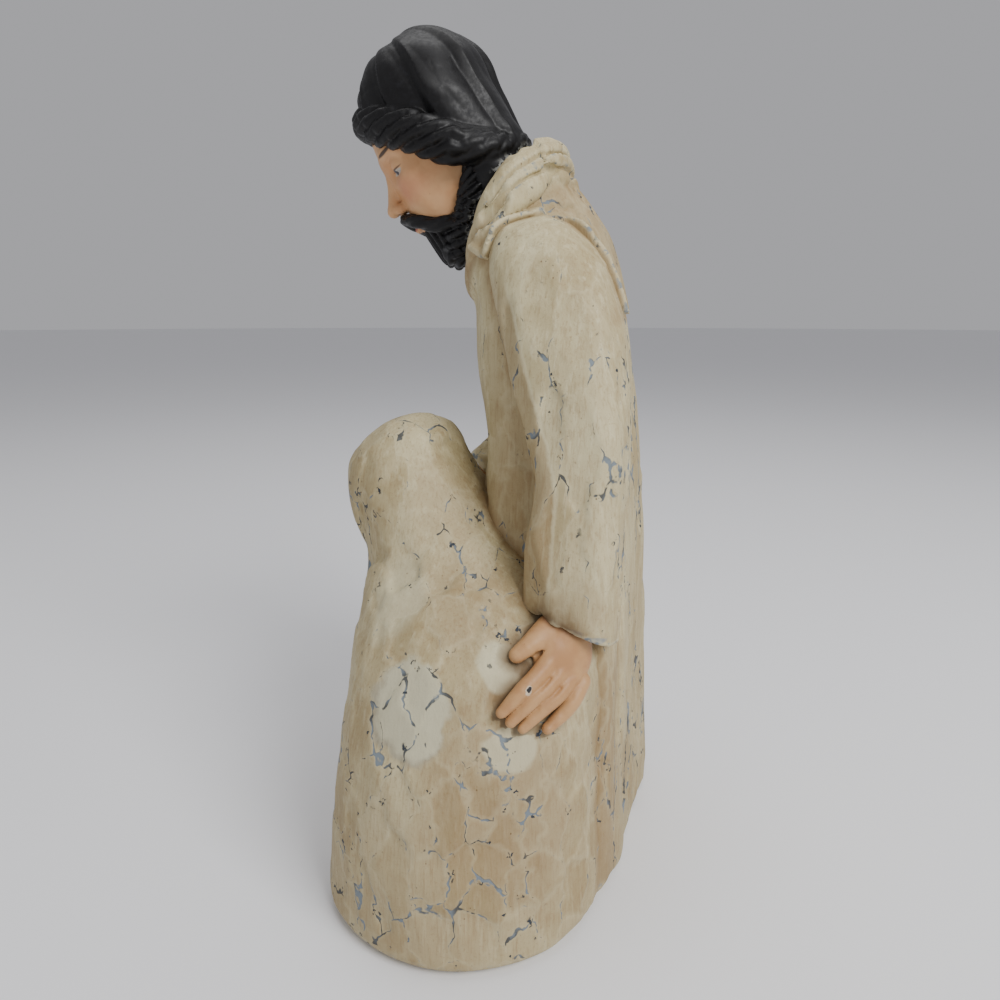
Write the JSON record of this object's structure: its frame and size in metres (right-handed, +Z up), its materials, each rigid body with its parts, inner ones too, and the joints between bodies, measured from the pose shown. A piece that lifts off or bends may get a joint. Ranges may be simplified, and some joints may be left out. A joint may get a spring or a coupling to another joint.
{
  "type": "presepe figure group",
  "caption": "Painted nativity-scene figure in one casting: a standing bearded man in a long robe bends over a kneeling, veiled woman.",
  "frame": {"origin": "on the flat underside, on the surface that the group stands on, below the middle of the group", "axes": "+Z up; -Y is the way the pair faces; +X is the pair's left, the side of the man's left arm"},
  "size_m": [0.1587, 0.1115, 0.3047],
  "materials": {
    "robe_paint": "cream paint with a brown wash over a grey-blue undercoat, worn through at the edges of the facets",
    "hair_paint": "near-black paint with a half gloss, rubbed grey on the high places",
    "flesh_paint": "eggshell flesh paint with brown shading in the creases"
  },
  "bodies": {
    "root": {"man_and_kneeling_woman": "robe_paint"}
  },
  "joints": []
}
